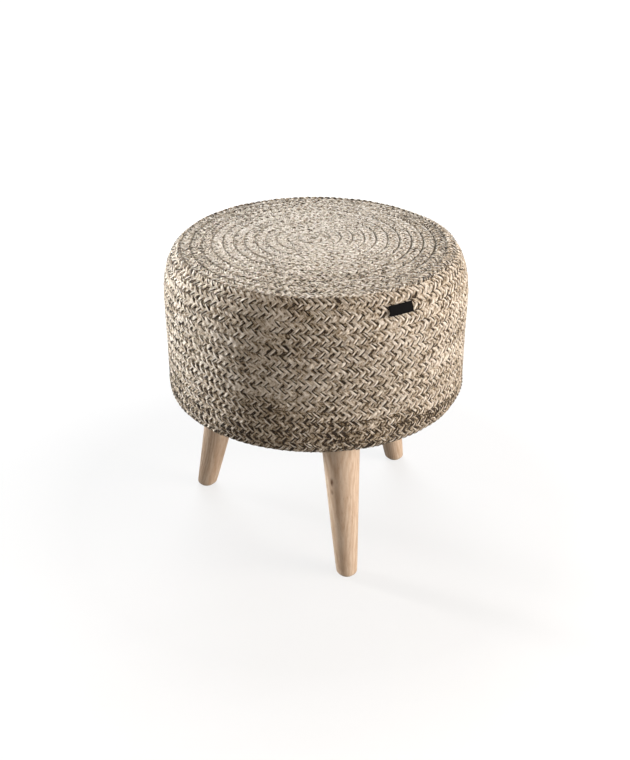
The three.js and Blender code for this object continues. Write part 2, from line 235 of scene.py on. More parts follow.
def drum_outline(depth, count=16):
    """(radius, height) from the middle of the seat to the hem, moved in by a depth."""
    top = SEAT_HEIGHT - depth
    shoulder = DRUM_RADIUS - SHOULDER_REACH
    rim = top - CROWN_RISE
    middle = (shoulder, rim - SHOULDER_DROP + depth)
    hem = (SKIN_OUTER, DRUM_UNDERSIDE + HEM_RISE)
    shares = [i / (4 * count) for i in range(4 * count)]
    seat = [(shoulder * s, top - CROWN_RISE * s * s) for s in shares]
    return (
        seat
        + quarter(middle, SHOULDER_REACH - depth, SHOULDER_DROP - depth, math.pi / 2, 2 * count)
        + quarter(hem, HEM_REACH - depth, HEM_RISE - depth, 0, count)
    )


def new_piece(name, form, material):
    """A smooth object of a bmesh, with its faces turned outwards."""
    bmesh.ops.recalc_face_normals(form, faces=form.faces)
    mesh = bpy.data.meshes.new(name)
    form.to_mesh(mesh)
    form.free()
    mesh.materials.append(material)
    mesh.polygons.foreach_set("use_smooth", [True] * len(mesh.polygons))
    piece = bpy.data.objects.new(name, mesh)
    bpy.context.scene.collection.objects.link(piece)
    return piece


def join_rings(form, rings, sides):
    """Adds the faces between each ring and the next. A ring may be one point on the axis."""
    for here, there in zip(rings, rings[1:]):
        for i in range(sides):
            j = i + 1
            corners = [here[i % len(here)], here[j % len(here)], there[j % len(there)], there[i % len(there)]]
            form.faces.new(list(dict.fromkeys(corners)))


def lathed(outline, sides, closed=False):
    """A bmesh turned about the drum's axis from (radius, height) pairs."""
    form = bmesh.new()
    rings = []
    for radius, height in outline:
        angles = [FULL_TURN * i / sides for i in range(sides if radius > 0 else 1)]
        rings.append([form.verts.new(spun(radius, height, angle)) for angle in angles])
    join_rings(form, rings + (rings[:1] if closed else []), sides)
    return form


def fit_piece(piece, slot, *nodes):
    """The piece rides with the drum and stands for these CAD nodes, which it hides. The slot is not used."""
    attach(piece, "root")
    if nodes:
        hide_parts(*nodes)


# Polyurethane foam: cream, matt, with open cells about a millimetre wide.
foam, add, shader = new_finish("polyurethane_foam_cut", Roughness=0.95, IOR=1.45)
place = add("TexCoord")
cells = add("TexVoronoi", {"Vector": place.outputs["Object"], "Scale": FOAM_CELLS})
cell_colour = add("ValToRGB", [cells], [(0.1, "#cdbd8e"), (0.5, "#e9dfba"), (0.9, "#f3ecd0")])
put_on(shader, cell_colour, cells, depth=0.0005)

pad_top = [p for p in drum_outline(FOAM_DEPTH) if p[1] > PAD_BOTTOM]
pad_outline = pad_top + [(pad_top[-1][0], PAD_BOTTOM), (0, PAD_BOTTOM)]
foam_pad = new_piece("foam_pad", lathed(pad_outline, DRUM_SIDES), foam)
fit_piece(foam_pad, "foam", "top_foam_pad")

core_line = SKIN_OUTER + FIT
wrap_top = PAD_BOTTOM - FIT
side_run = [p for p in drum_outline(FOAM_DEPTH) if p[0] > core_line and p[1] < PAD_BOTTOM - 2 * FIT]
wrap_outline = [(core_line, wrap_top), (side_run[0][0], wrap_top), *side_run, (core_line, side_run[-1][1])]
foam_wrap = new_piece("foam_wrap", lathed(wrap_outline, DRUM_SIDES, closed=True), foam)
fit_piece(foam_wrap, "foam", "side_foam_wrap")


# Liner
# A cotton bag, cut as a disc and a band and sewn together, is pulled tight over the foam. The plait is
# sewn to it turn by turn, and it is stapled under the base together with the hem of the plait.

LINER_DEPTH = 0.0063
LINER_THICKNESS = 0.0008
HEM_INNER = 0.158
CALICO_THREAD = 0.0010

# Calico: a plain, unbleached weave. Its 0.4 mm threads are drawn 1 mm wide, so that they show.
calico, add, shader = new_finish("cotton_calico_unbleached", Roughness=0.9, IOR=1.5)
place = add("TexCoord")
threads = add("TexChecker", {"Vector": place.outputs["Object"], "Scale": 1 / CALICO_THREAD})
weave = add("ValToRGB", [threads.outputs["Fac"]], [(0.0, "#b3a68e"), (1.0, "#c9bea8")])
put_on(shader, weave, threads.outputs["Fac"], depth=0.0003)


def liner_side(depth):
    """(radius, height) of one side of the liner, from the middle of the seat to its edge."""
    return drum_outline(depth) + [(HEM_INNER, DRUM_UNDERSIDE + depth)]


liner_outline = liner_side(LINER_DEPTH) + liner_side(LINER_DEPTH + LINER_THICKNESS)[::-1]
liner = new_piece("liner", lathed(liner_outline, DRUM_SIDES), calico)
fit_piece(liner, "liner", "inner_liner")


# Plaited cover
# Jute and cotton yarns in cream, taupe and dark brown are plaited in three strands to one long, flat
# braid. It is sewn edge to edge in a spiral, from the middle of the seat to under the base.

BRAID_WIDTH = 0.0145
BRAID_PERIOD = 0.0287
BRAID_START = 0.0020
BRAID_END = 0.4150
FIRST_CHANNEL = 0.035
TIGHTEST_RADIUS = 0.004
MID_DEPTH = 0.0022
STEPS_IN_PERIOD = 16
YARNS_IN_STRAND = 4
PLAIT = {
    "Period": BRAID_PERIOD, "Swing": 0.0067, "Lift": 0.0010, "Yarn Spread": math.radians(30),
    "Yarn Width": 0.0014, "Yarn Thickness": 0.0016, "Strands": 3, "Yarns": YARNS_IN_STRAND, "Waver": 0.0016}
SPIRAL_MIDDLE = Vector((-0.007, 0.003, 0))
SPIRAL_REACH = 0.16
SEAT_BRAID_END = 0.165
SEAT_SWING_SHARE = 0.92
PLAIT_PARTS = [
    "plait_seat_middle", "plait_seat_rim", "plait_shoulder", "plait_side_top", "plait_side_upper",
    "plait_side_middle", "plait_side_low", "plait_hem"]


def new_tree(name, sizes):
    """A Geometry Nodes tree that takes a geometry, these sizes or counts and a finish.

    It comes with what adds its nodes, and with its inputs.
    """
    made = bpy.data.node_groups.new(name, "GeometryNodeTree")
    kinds = {label: "Int" if isinstance(size, int) else "Float" for label, size in sizes.items()}
    for label, kind in {"Geometry": "Geometry", **kinds, "Finish": "Material"}.items():
        made.interface.new_socket(label, in_out="INPUT", socket_type=f"NodeSocket{kind}")
    made.interface.new_socket("Geometry", in_out="OUTPUT", socket_type="NodeSocketGeometry")
    return made, partial(add_node, made), made.nodes.new("NodeGroupInput").outputs


def close_tree(add, geometry, finish):
    """Ends a tree: its instances become real meshes, with the finish on them."""
    real = add("GeometryNodeRealizeInstances", {"Geometry": geometry})
    finished = add("GeometryNodeSetMaterial", {"Geometry": real, "Material": finish})
    add("NodeGroupOutput", {"Geometry": finished})


def grown(name, start, tree, sizes, finish):
    """Runs a tree on a starting mesh, and returns the result as a plain mesh object."""
    values = {**sizes, "Finish": finish}
    seed = bpy.data.objects.new(name + "_start", start)
    bpy.context.scene.collection.objects.link(seed)
    modifier = seed.modifiers.new("form", "NODES")
    modifier.node_group = tree
    for item in tree.interface.items_tree:
        if item.in_out == "INPUT" and item.name in values:
            modifier[item.identifier] = values[item.name]
    bpy.context.view_layer.update()
    mesh = bpy.data.meshes.new_from_object(seed.evaluated_get(bpy.context.evaluated_depsgraph_get()))
    seed.modifiers.remove(modifier)
    bpy.data.objects.remove(seed)
    mesh.name = name
    piece = bpy.data.objects.new(name, mesh)
    bpy.context.scene.collection.objects.link(piece)
    return piece


# Outline of the crests of the braid, with the distance along it at each point
crest = drum_outline(0, 40) + [(SKIN_OUTER - HEM_TURN, DRUM_UNDERSIDE)]
crest_run = [0.0]
for (r0, z0), (r1, z1) in zip(crest, crest[1:]):
    crest_run.append(crest_run[-1] + math.hypot(r1 - r0, z1 - z0))


def cover_place(distance):
    """(radius, height) and the direction (radial, upward) at a distance along the crests."""
    i = max(k for k, run in enumerate(crest_run[:-1]) if run <= distance) if distance > 0 else 0
    (r0, z0), (r1, z1) = crest[i], crest[i + 1]
    length = crest_run[i + 1] - crest_run[i]
    share = (distance - crest_run[i]) / length
    return (r0 + share * (r1 - r0), z0 + share * (z1 - z0)), ((r1 - r0) / length, (z1 - z0) / length)


def braid_line():
    """Rows of point, across, out, run and swing share, from the middle of the seat to the hem."""
    step = BRAID_PERIOD / STEPS_IN_PERIOD
    distance = BRAID_START
    turn = (distance - FIRST_CHANNEL + BRAID_WIDTH / 2) / BRAID_WIDTH
    rows = []
    while distance < BRAID_END:
        (radius, height), (reach, climb) = cover_place(distance)
        angle = FULL_TURN * turn
        side = Vector((reach * math.sin(angle), -reach * math.cos(angle), climb))
        face = Vector((-climb * math.sin(angle), climb * math.cos(angle), reach))
        fade = max(0, 1 - distance / SPIRAL_REACH)
        tight = min(1, max(0, (distance - SEAT_BRAID_END) / BRAID_WIDTH))
        point = spun(radius, height, angle) - MID_DEPTH * face + fade * SPIRAL_MIDDLE
        swing_share = SEAT_SWING_SHARE + (1 - SEAT_SWING_SHARE) * tight
        rows.append((point, side, face, step * len(rows), swing_share))
        advance = step / (FULL_TURN * max(radius, TIGHTEST_RADIUS))
        turn += advance
        distance += BRAID_WIDTH * advance
    return rows


def braid_path(rows):
    """The braid's middle line as a mesh of edges that carries its directions."""
    mesh = bpy.data.meshes.new("braid_path")
    mesh.from_pydata([row[0] for row in rows], [(i, i + 1) for i in range(len(rows) - 1)], [])
    for label, column in (("across", 1), ("out", 2)):
        directions = [x for row in rows for x in row[column]]
        mesh.attributes.new(label, "FLOAT_VECTOR", "POINT").data.foreach_set("vector", directions)
    for label, column in (("run", 3), ("swing_share", 4)):
        mesh.attributes.new(label, "FLOAT", "POINT").data.foreach_set("value", [row[column] for row in rows])
    return mesh


# The plaiting rule: each strand of parallel yarns swings from edge to edge of the braid, over its
# neighbour on the way in from either edge and under it on the way out.
plaiting, add, given = new_tree("plaiting", PLAIT)
line = add("GeometryNodeMeshToCurve", {"Mesh": given["Geometry"]})
yarn_total = add("MULTIPLY", [given["Strands"], given["Yarns"]])
copies = add("GeometryNodeDuplicateElements", {"Geometry": line, "Amount": yarn_total}, domain="SPLINE")
numbered = add("GeometryNodeStoreNamedAttribute", {
    "Geometry": copies.outputs["Geometry"], "Name": "yarn", "Value": copies.outputs["Duplicate Index"]},
    data_type="FLOAT", domain="CURVE")
number, run_here, width_here = (
    add("GeometryNodeInputNamedAttribute", {"Name": label}, data_type="FLOAT")
    for label in ("yarn", "run", "swing_share"))
across_here, out_here = (
    add("GeometryNodeInputNamedAttribute", {"Name": label}, data_type="FLOAT_VECTOR")
    for label in ("across", "out"))

# Which strand a yarn lies in, and its place there, counted from the strand's middle
half_up = add("ADD", [number, 0.5])
strands_in = add("DIVIDE", [half_up, given["Yarns"]])
strand = add("FLOOR", [strands_in])
first_yarn = add("MULTIPLY", [strand, given["Yarns"]])
yarn_place = add("SUBTRACT", [number, first_yarn])
last_yarn = add("SUBTRACT", [given["Yarns"], 1.0])
middle_yarn = add("MULTIPLY", [last_yarn, 0.5])
place_in_strand = add("SUBTRACT", [yarn_place, middle_yarn])

# The swing is a zigzag with its corners taken off, and the yarns of a strand turn one after the other
BLUNTNESS = 0.99
periods = add("DIVIDE", [run_here, given["Period"]])
head_start = add("DIVIDE", [strand, given["Strands"]])
phase = add("ADD", [periods, head_start])
strand_angle = add("MULTIPLY", [phase, FULL_TURN])
yarn_turn = add("MULTIPLY", [place_in_strand, given["Yarn Spread"]])
yarn_angle = add("ADD", [strand_angle, yarn_turn])
wave = add("COSINE", [yarn_angle])
blunted = add("MULTIPLY", [wave, BLUNTNESS])
zigzag = add("ARCSINE", [blunted])
swing_share = add("DIVIDE", [zigzag, math.asin(BLUNTNESS)])

# The lift goes up and down twice in each swing to and fro, with flat tops
YARN_LEAD = 0.35
LIFT_LEAD = 0.25
LIFT_FLATNESS = 1.6
yarn_ahead = add("MULTIPLY_ADD", [yarn_turn, YARN_LEAD, strand_angle])
lift_angle = add("MULTIPLY_ADD", [yarn_ahead, 2.0, LIFT_LEAD])
lift_wave = add("SINE", [lift_angle])
steep_wave = add("MULTIPLY", [lift_wave, LIFT_FLATNESS])
lift_share = add("TANH", [steep_wave])

# Handwork: the braid swells here and there, and each yarn wavers and is thicker and thinner by turns
SWELLS = 22.0  # in each metre
TWITCHES = 0.9  # in each period
TWITCH_STEP = 9.0  # sets the twitches of one yarn apart from the next one's
THICKNESS_CHANGE = 0.5
here = add("GeometryNodeInputPosition")
swell = add("TexNoise", {"Vector": here, "Scale": SWELLS, "Detail": 2.0})
swell_share = add("ADD", [swell.outputs["Fac"], -0.5])
twitch_at = add("MULTIPLY_ADD", [number, TWITCH_STEP, periods])
twitch = add("TexNoise", {"W": twitch_at, "Scale": TWITCHES, "Detail": 1.0}, noise_dimensions="1D")
twitch_share = add("ADD", [twitch.outputs["Fac"], -0.5])
swing_here = add("MULTIPLY", [given["Swing"], width_here])
swung = add("MULTIPLY", [swing_share, swing_here])
swing_all = add("MULTIPLY_ADD", [twitch_share, given["Waver"], swung])
lifted = add("MULTIPLY", [lift_share, given["Lift"]])
lift_all = add("MULTIPLY_ADD", [swell_share, given["Waver"], lifted])
sideways = add("VectorMath SCALE", {0: across_here, "Scale": swing_all})
outward = add("VectorMath SCALE", {0: out_here, "Scale": lift_all})
offset = add("VectorMath ADD", [sideways, outward])
moved = add("GeometryNodeSetPosition", {"Geometry": numbered, "Offset": offset})

# Each yarn's line becomes a solid, and keeps the way round its girth for its finish
facing = add("GeometryNodeSetCurveNormal", {"Curve": moved, "Normal": out_here}, mode="FREE")
section = add("GeometryNodeCurvePrimitiveQuadrilateral", {
    "Width": given["Yarn Thickness"], "Height": given["Yarn Width"]}, mode="RECTANGLE")
section_at = add("SeparateXYZ", [here])
section_turn = add("ARCTAN2", [section_at.outputs["Y"], section_at.outputs["X"]])
girth_share = add("DIVIDE", [section_turn, FULL_TURN])
around = add("GeometryNodeStoreNamedAttribute", {
    "Geometry": section, "Name": "girth", "Value": girth_share}, data_type="FLOAT", domain="POINT")
thickness = add("MULTIPLY_ADD", [twitch_share, THICKNESS_CHANGE, 1.0])
solid = add("GeometryNodeCurveToMesh", {
    "Curve": facing, "Profile Curve": around, "Scale": thickness, "Fill Caps": True})
smooth = add("GeometryNodeSetShadeSmooth", {"Geometry": solid})
close_tree(add, smooth, given["Finish"])

# Marled yarn: each is a twist of cream, taupe and dark brown plies, soft and matt, whose colours run on
# for one to four centimetres. In each strand, in irregular strokes, one yarn is darkened, and the yarn at
# the edge beside it a little, partly as dark yarn and partly as painted shade of the gaps between the
# braid's arms; the yarn on its other side is lightened as a painted highlight. The seat is lighter, with
# weaker strokes, and the lowest turns are darker, partly darker yarn and partly painted shade.
TWISTS = 45.0  # in each metre, like the other counts below
PLY_COUNT = 3.0
PLY_RELIEF = 0.0006
YARN_KEY = 7.3  # sets the noise of one yarn apart from the next one's, and PLY_KEY that of the plies
PLY_KEY = 71.9
FLECKS = 26.0
FINE_FLECKS = 85.0
FIBRES = 330.0
STROKES = 48.0
STROKE_KEY = 40.0
BATCHES = 4.0
PLY_FLECK_SHARE = 0.38
FLECK_REACH = 0.68
FLECK_BASE = 0.16
BATCH_REACH = 0.13
# Painted tones of the yarns in each strand: the yarn at the edge and the dark one are darker, partly dark
# yarn and partly painted shade, and the light one is lighter as a painted highlight
YARN_SHADE_AND_HIGHLIGHT_TONES = (-0.07, -0.28, 0.10)  # of the yarn at the edge, the dark one and the light one
STROKE_RANGE = (0.35, 0.65, 0.1, 1.5)
# Two distances along the braid, in metres, and the value at each of them
FINE_FLECK_RANGE = (5.0, 8.0, 0.6, 0.2)
FIBRE_RANGE = (5.0, 8.0, 0.54, 0.40)
# How strong the painted shade and highlight of the yarns are, weaker on the seat
SHADE_AND_HIGHLIGHT_RANGE = (5.0, 8.0, 0.2, 1.0)
SEAT_TONE_RANGE = (1.0, 5.8, 0.078, -0.004)
SIDE_TONE_RANGE = (5.5, 8.5, 0.0, 0.034)
# The lowest turns are darker: partly darker yarn, partly painted shade
LOW_YARN_AND_SHADE_RANGE = (17.0, 23.0, 0.0, -0.090)

yarn, add, shader = new_finish("jute_and_cotton_yarn_plaited", Roughness=0.92, IOR=1.5, Sheen_Weight=0.1)
run, girth, yarn_at = (
    add("Attribute", attribute_name=label).outputs["Fac"] for label in ("run", "girth", "yarn"))


def flecks_of(in_metre, key, detail=1.0):
    """Noise along the yarns, with its repeats in each metre, another for each key."""
    along = add("MULTIPLY", [run, in_metre])
    fleck_place = add("CombineXYZ", [along, key])
    return add("TexNoise", {
        "Vector": fleck_place, "Scale": 1.0, "Detail": detail}, noise_dimensions="2D").outputs["Fac"]


ply_turn = add("MULTIPLY_ADD", [run, TWISTS, girth])
ply_at = add("MULTIPLY", [ply_turn, PLY_COUNT])
ply_number = add("FLOOR", [ply_at])
ply_wrapped = add("MODULO", [ply_number, PLY_COUNT])
yarn_key = add("MULTIPLY", [yarn_at, YARN_KEY])
ply_key = add("MULTIPLY_ADD", [ply_wrapped, PLY_KEY, yarn_key])
flecks = add("Mix", {
    "Factor": PLY_FLECK_SHARE, "A": flecks_of(FLECKS, yarn_key), "B": flecks_of(FLECKS, ply_key)},
    data_type="FLOAT")
fine_share = add("MapRange", [run, *FINE_FLECK_RANGE])
flecks = add("Mix", {
    "Factor": fine_share, "A": flecks.outputs["Result"], "B": flecks_of(FINE_FLECKS, ply_key)},
    data_type="FLOAT")
fleck_tone = add("MULTIPLY_ADD", [flecks.outputs["Result"], FLECK_REACH, FLECK_BASE])
fibre_reach = add("MapRange", [run, *FIBRE_RANGE])
fibre_share = add("SUBTRACT", [flecks_of(FIBRES, ply_key, 0.0), 0.5])
fibre_tone = add("MULTIPLY", [fibre_share, fibre_reach])
marl_and_painted_light = add("ADD", [fleck_tone, fibre_tone])

# The painted shade and highlight of each yarn in its strand, laid on in strokes; the dark yarn is partly dark
# yarn
yarn_count = add("ADD", [yarn_at, 0.5])
place_of_yarn = add("MODULO", [yarn_count, float(YARNS_IN_STRAND)])
yarn_shade_and_highlight = 0.0
for i, tone in enumerate(YARN_SHADE_AND_HIGHLIGHT_TONES):
    is_painted_yarn = add("COMPARE", [place_of_yarn, i + 0.5, 0.5])
    yarn_shade_and_highlight = add("MULTIPLY_ADD", [is_painted_yarn, tone, yarn_shade_and_highlight])
shade_and_highlight_reach = add("MapRange", [run, *SHADE_AND_HIGHLIGHT_RANGE])
shade_and_highlight_here = add("MULTIPLY", [yarn_shade_and_highlight, shade_and_highlight_reach])
stroke_at = add("MULTIPLY", [run, STROKES])
stroke_place = add("CombineXYZ", [stroke_at, yarn_key, STROKE_KEY])
strokes = add("TexNoise", {"Vector": stroke_place, "Scale": 1.0, "Detail": 0.0})
painted_stroke_share = add("MapRange", [strokes.outputs["Fac"], *STROKE_RANGE])
marl_and_painted_light = add("MULTIPLY_ADD", [shade_and_highlight_here, painted_stroke_share, marl_and_painted_light])

# The tone of the braid along its length, with batches of yarn that were spun apart, and the lowest turns
# darker, partly darker yarn and partly painted shade
batches = add("TexNoise", {"W": run, "Scale": BATCHES, "Detail": 2.0}, noise_dimensions="1D")
batch_tone = add("MULTIPLY_ADD", [batches.outputs["Fac"], BATCH_REACH, -BATCH_REACH / 2])
seat_tone, side_tone, low_yarn_and_shade = (
    add("MapRange", [run, *tones]) for tones in (SEAT_TONE_RANGE, SIDE_TONE_RANGE, LOW_YARN_AND_SHADE_RANGE))
lower_tone = add("ADD", [batch_tone, low_yarn_and_shade])
upper_tone = add("ADD", [seat_tone, side_tone])
braid_tone = add("ADD", [lower_tone, upper_tone])
shade = add("ADD", [marl_and_painted_light, braid_tone])
colour = add("ValToRGB", [shade], [
    (0.37, "#261804"), (0.41, "#69583f"), (0.45, "#9e8f78"), (0.51, "#c2b7a6"), (0.57, "#d7cec1"),
    (0.64, "#ece7df")])
ply_wave = add("PINGPONG", [ply_at, 0.5])
put_on(shader, colour, ply_wave, PLY_RELIEF)

braid_rows = braid_line()
part_steps = math.ceil(len(braid_rows) / len(PLAIT_PARTS))
for i, part_name in enumerate(PLAIT_PARTS):
    part_rows = braid_rows[i * part_steps : (i + 1) * part_steps + 1]
    part = grown(part_name, braid_path(part_rows), plaiting, PLAIT, yarn)
    fit_piece(part, "braid", "braided_cover")


# Staples
# Steel staples hold the hem of the plait and the edge of the dust cloth to the base board. They stand
# in two rings, each staple along its ring, a little crooked as they come from the gun.

STAPLE = {
    "Crown": 0.0120, "Wire Width": 0.0013, "Wire Thickness": 0.0006, "Leg": 0.0022,
    "Crookedness": math.radians(9), "Seed": 4}
STAPLE_WIRE_STEPS = 13
STAPLE_STRAIGHT_SHARE = 0.46  # of the crown, on each side of its middle
STAPLE_BEND = -0.8  # how far a leg is drawn in for each metre down it
HEM_STAPLES = (40, 0.1640, 0.1999)  # how many, on which radius, at which height
CLOTH_STAPLES = (36, 0.1515, 0.2061)
LEG_TURNS = {"front": 0, "right": FULL_TURN / 3, "left": 2 * FULL_TURN / 3}
PLATE_HALF_TURN = math.radians(15)

stapling, add, given = new_tree("stapling", STAPLE)

wire_length = add("MULTIPLY_ADD", [given["Leg"], 2.0, given["Crown"]])
wire_size = add("CombineXYZ", [wire_length, given["Wire Width"], given["Wire Thickness"]])
wire = add("GeometryNodeMeshCube", {"Size": wire_size, "Vertices X": STAPLE_WIRE_STEPS})
here = add("GeometryNodeInputPosition")
along = add("SeparateXYZ", [here]).outputs["X"]
reach = add("ABSOLUTE", [along])
straight = add("MULTIPLY", [given["Crown"], STAPLE_STRAIGHT_SHARE])
past = add("SUBTRACT", [reach, straight])
beyond = add("MAXIMUM", [past, 0.0])
which_end = add("SIGN", [along])
pull = add("MULTIPLY", [beyond, STAPLE_BEND])
drawn_in = add("MULTIPLY", [which_end, pull])
bend = add("CombineXYZ", {"X": drawn_in, "Z": beyond})
bent = add("GeometryNodeSetPosition", {"Geometry": wire.outputs["Mesh"], "Offset": bend})
ring_turn = add("GeometryNodeInputNamedAttribute", {"Name": "turn"}, data_type="FLOAT")
other_way = add("MULTIPLY", [given["Crookedness"], -1.0])
crook = add("FunctionNodeRandomValue", {
    2: other_way, 3: given["Crookedness"], "Seed": given["Seed"]}, data_type="FLOAT")
staple_turn = add("ADD", [ring_turn, crook.outputs[1]])
turned_to = add("CombineXYZ", {"Z": staple_turn})
driven = add("GeometryNodeInstanceOnPoints", {
    "Points": given["Geometry"], "Instance": bent, "Rotation": turned_to})
close_tree(add, driven, given["Finish"])


def staple_ring(name, count, radius, height, clear_of_plates):
    """Points round the drum, each with the turn of its staple."""
    turns = [FULL_TURN * (i + 0.5) / count for i in range(count)]
    if clear_of_plates:
        turns = [t for t in turns if all(
            abs((t - leg + math.pi) % FULL_TURN - math.pi) > PLATE_HALF_TURN for leg in LEG_TURNS.values())]
    mesh = bpy.data.meshes.new(name)
    mesh.from_pydata([spun(radius, height, t) for t in turns], [], [])
    mesh.attributes.new("turn", "FLOAT", "POINT").data.foreach_set("value", turns)
    return mesh


for name, ring, clear in (("hem_staples", HEM_STAPLES, False), ("dust_cloth_staples", CLOTH_STAPLES, True)):
    staples = grown(name, staple_ring(name + "_ring", *ring, clear), stapling, STAPLE, zinc)
    fit_piece(staples, "steel")


# Dust cloth
# A disc of thin black spun-bonded cloth closes the underside. It is stapled at its edge and held by
# the leg plates, and hangs a little slack between them.

DUST_RADIUS = 0.1577
DUST_TOP = 0.2071
DUST_THICKNESS = 0.0006
DUST_SLACK = 0.0016
DUST_EASE = 0.030  # how far from a fixing the cloth hangs fully slack
DUST_EVEN_SHARE = 0.6  # of the slack is the same all over, and the rest is in ripples
DUST_RIPPLE_SHARE = 0.8
DUST_RIPPLES = 22  # in each metre
DUST_FINE_RIPPLES = 60
DUST_RINGS = 30
DUST_DOT_SPACING = 0.0020
PLATE_PLACE = 0.12684
PLATE_HALF = 0.028

# Spun-bonded polypropylene: black fibres pressed together in small dots. The dots, about 1 mm apart,
# are drawn 2 mm apart, so that they show.
dust, add, shader = new_finish("polypropylene_spunbonded", Roughness=0.75, IOR=1.49)
place = add("TexCoord")
dots = add("TexVoronoi", {
    "Vector": place.outputs["Object"], "Scale": 1 / DUST_DOT_SPACING, "Randomness": 0.15})
dust_colour = add("ValToRGB", [grain_of(add, (300, 300, 300))], [
    (0.3, "#0e0e0f"), (0.6, "#1b1b1c"), (0.8, "#2a2a2b")])
put_on(shader, dust_colour, dots, depth=0.0006)


def slack_at(point):
    """How far the dust cloth hangs below the base at a point, by the nearest of its fixings."""
    held = DUST_RADIUS - point.xy.length
    for leg in LEG_TURNS.values():
        outward = Vector((math.sin(leg), -math.cos(leg)))
        across = Vector((math.cos(leg), math.sin(leg)))
        far = max(abs(point.xy.dot(outward) - PLATE_PLACE), abs(point.xy.dot(across))) - PLATE_HALF
        held = min(held, max(0, far))
    ease = min(1, held / DUST_EASE)
    large = noise.noise(Vector((point.x * DUST_RIPPLES, point.y * DUST_RIPPLES, 3)))
    ripple = large + 0.5 * noise.noise(point * DUST_FINE_RIPPLES)
    return DUST_SLACK * ease * (DUST_EVEN_SHARE + DUST_RIPPLE_SHARE * ripple)


def dust_disc():
    """A closed disc of cloth, in rings, with its slack on both faces."""
    radii = [DUST_RADIUS * i / DUST_RINGS for i in range(DUST_RINGS + 1)]
    lower = [(r, DUST_TOP - DUST_THICKNESS) for r in reversed(radii)]
    form = lathed([(r, DUST_TOP) for r in radii] + lower, DRUM_SIDES)
    for vert in form.verts:
        vert.co.z -= max(0, slack_at(vert.co))
    return form


dust_cloth = new_piece("dust_cloth", dust_disc(), dust)
fit_piece(dust_cloth, "dust_cloth", "dust_cover")


# Leg plates
# Each leg is fixed to a square steel plate, pressed, drilled and zinc plated, with a slanted boss that
# takes the leg's hanger bolt. Four pan-head screws with a cross recess hold it to the base board.

PLATE_BOTTOM = 0.2035
SCREW = {
    "Head Radius": 0.0036, "Head Height": 0.0022, "Shank Radius": 0.0019, "Length": 0.014,
    "Recess Width": 0.0009, "Recess Length": 0.0040, "Seed": 7}
SCREW_SEAT = 0.2032
SCREW_PLACE = 0.0225
RECESS_DEPTH_SHARE = -0.62  # of the head's height, to the middle of the blades that cut the recess
DOME_SHARE = 0.42  # of the head's height
DOME_POWER = 4.0  # of the distance from the middle, by which the head falls away
SCREW_TIP_SHARE = 0.35  # of the shank's radius

dress(zinc, *(f"leg_plate_{place}" for place in LEG_TURNS), *(f"hanger_bolt_{place}" for place in LEG_TURNS))

screwing, add, given = new_tree("screwing", SCREW)
slug = add("GeometryNodeMeshCylinder", {
    "Vertices": 24, "Side Segments": 2, "Fill Segments": 3, "Radius": given["Head Radius"],
    "Depth": given["Head Height"]})
here = add("GeometryNodeInputPosition")
at = add("SeparateXYZ", [here])
flat_at = add("CombineXYZ", [at.outputs["X"], at.outputs["Y"]])
reach = add("VectorMath LENGTH", [flat_at])
share = add("DIVIDE", [reach.outputs["Value"], given["Head Radius"]])
is_outer = add("LESS_THAN", [at.outputs["Z"], 0.0])
rounding = add("POWER", [share, DOME_POWER])
dome = add("MULTIPLY", [given["Head Height"], DOME_SHARE])
fall = add("MULTIPLY", [rounding, dome])
outer_fall = add("MULTIPLY", [fall, is_outer])
fall_up = add("CombineXYZ", {"Z": outer_fall})
domed = add("GeometryNodeSetPosition", {"Geometry": slug.outputs["Mesh"], "Offset": fall_up})
head_middle, recess_middle, seat_drop = (
    add("CombineXYZ", {
        "Z": add("MULTIPLY", [given["Head Height"], part])})
    for part in (0.5, RECESS_DEPTH_SHARE, -0.5))
blades = add("GeometryNodeJoinGeometry")
for long_side, short_side in (("X", "Y"), ("Y", "X")):
    blade_size = add("CombineXYZ", {
        long_side: given["Recess Length"], short_side: given["Recess Width"], "Z": given["Head Height"]})
    blade = add("GeometryNodeMeshCube", {"Size": blade_size})
    screwing.links.new(blade.outputs["Mesh"], blades.inputs[0])
lowered = add("GeometryNodeTransform", {"Geometry": blades, "Translation": recess_middle})
recessed = add("GeometryNodeMeshBoolean", {"Mesh 1": domed, "Mesh 2": lowered}, operation="DIFFERENCE")
tip = add("MULTIPLY", [given["Shank Radius"], SCREW_TIP_SHARE])
shank = add("GeometryNodeMeshCone", {
    "Vertices": 12, "Side Segments": 6, "Radius Top": tip, "Radius Bottom": given["Shank Radius"],
    "Depth": given["Length"]})
raised = add("GeometryNodeTransform", {"Geometry": shank.outputs["Mesh"], "Translation": head_middle})
whole = add("GeometryNodeJoinGeometry")
screwing.links.new(recessed.outputs["Mesh"], whole.inputs[0])
screwing.links.new(raised.outputs[0], whole.inputs[0])
seated = add("GeometryNodeTransform", {"Geometry": whole, "Translation": seat_drop})
turn = add("FunctionNodeRandomValue", {2: 0.0, 3: math.pi, "Seed": given["Seed"]}, data_type="FLOAT")
turned_to = add("CombineXYZ", {"Z": turn.outputs[1]})
driven = add("GeometryNodeInstanceOnPoints", {
    "Points": given["Geometry"], "Instance": seated, "Rotation": turned_to})
close_tree(add, driven, given["Finish"])


def at_station(leg, outward, sideways, height):
    """A point at a leg: its distance from the drum's axis, its distance to the side and its height."""
    turn = LEG_TURNS[leg]
    return Vector((
        outward * math.sin(turn) + sideways * math.cos(turn),
        -outward * math.cos(turn) + sideways * math.sin(turn), height))


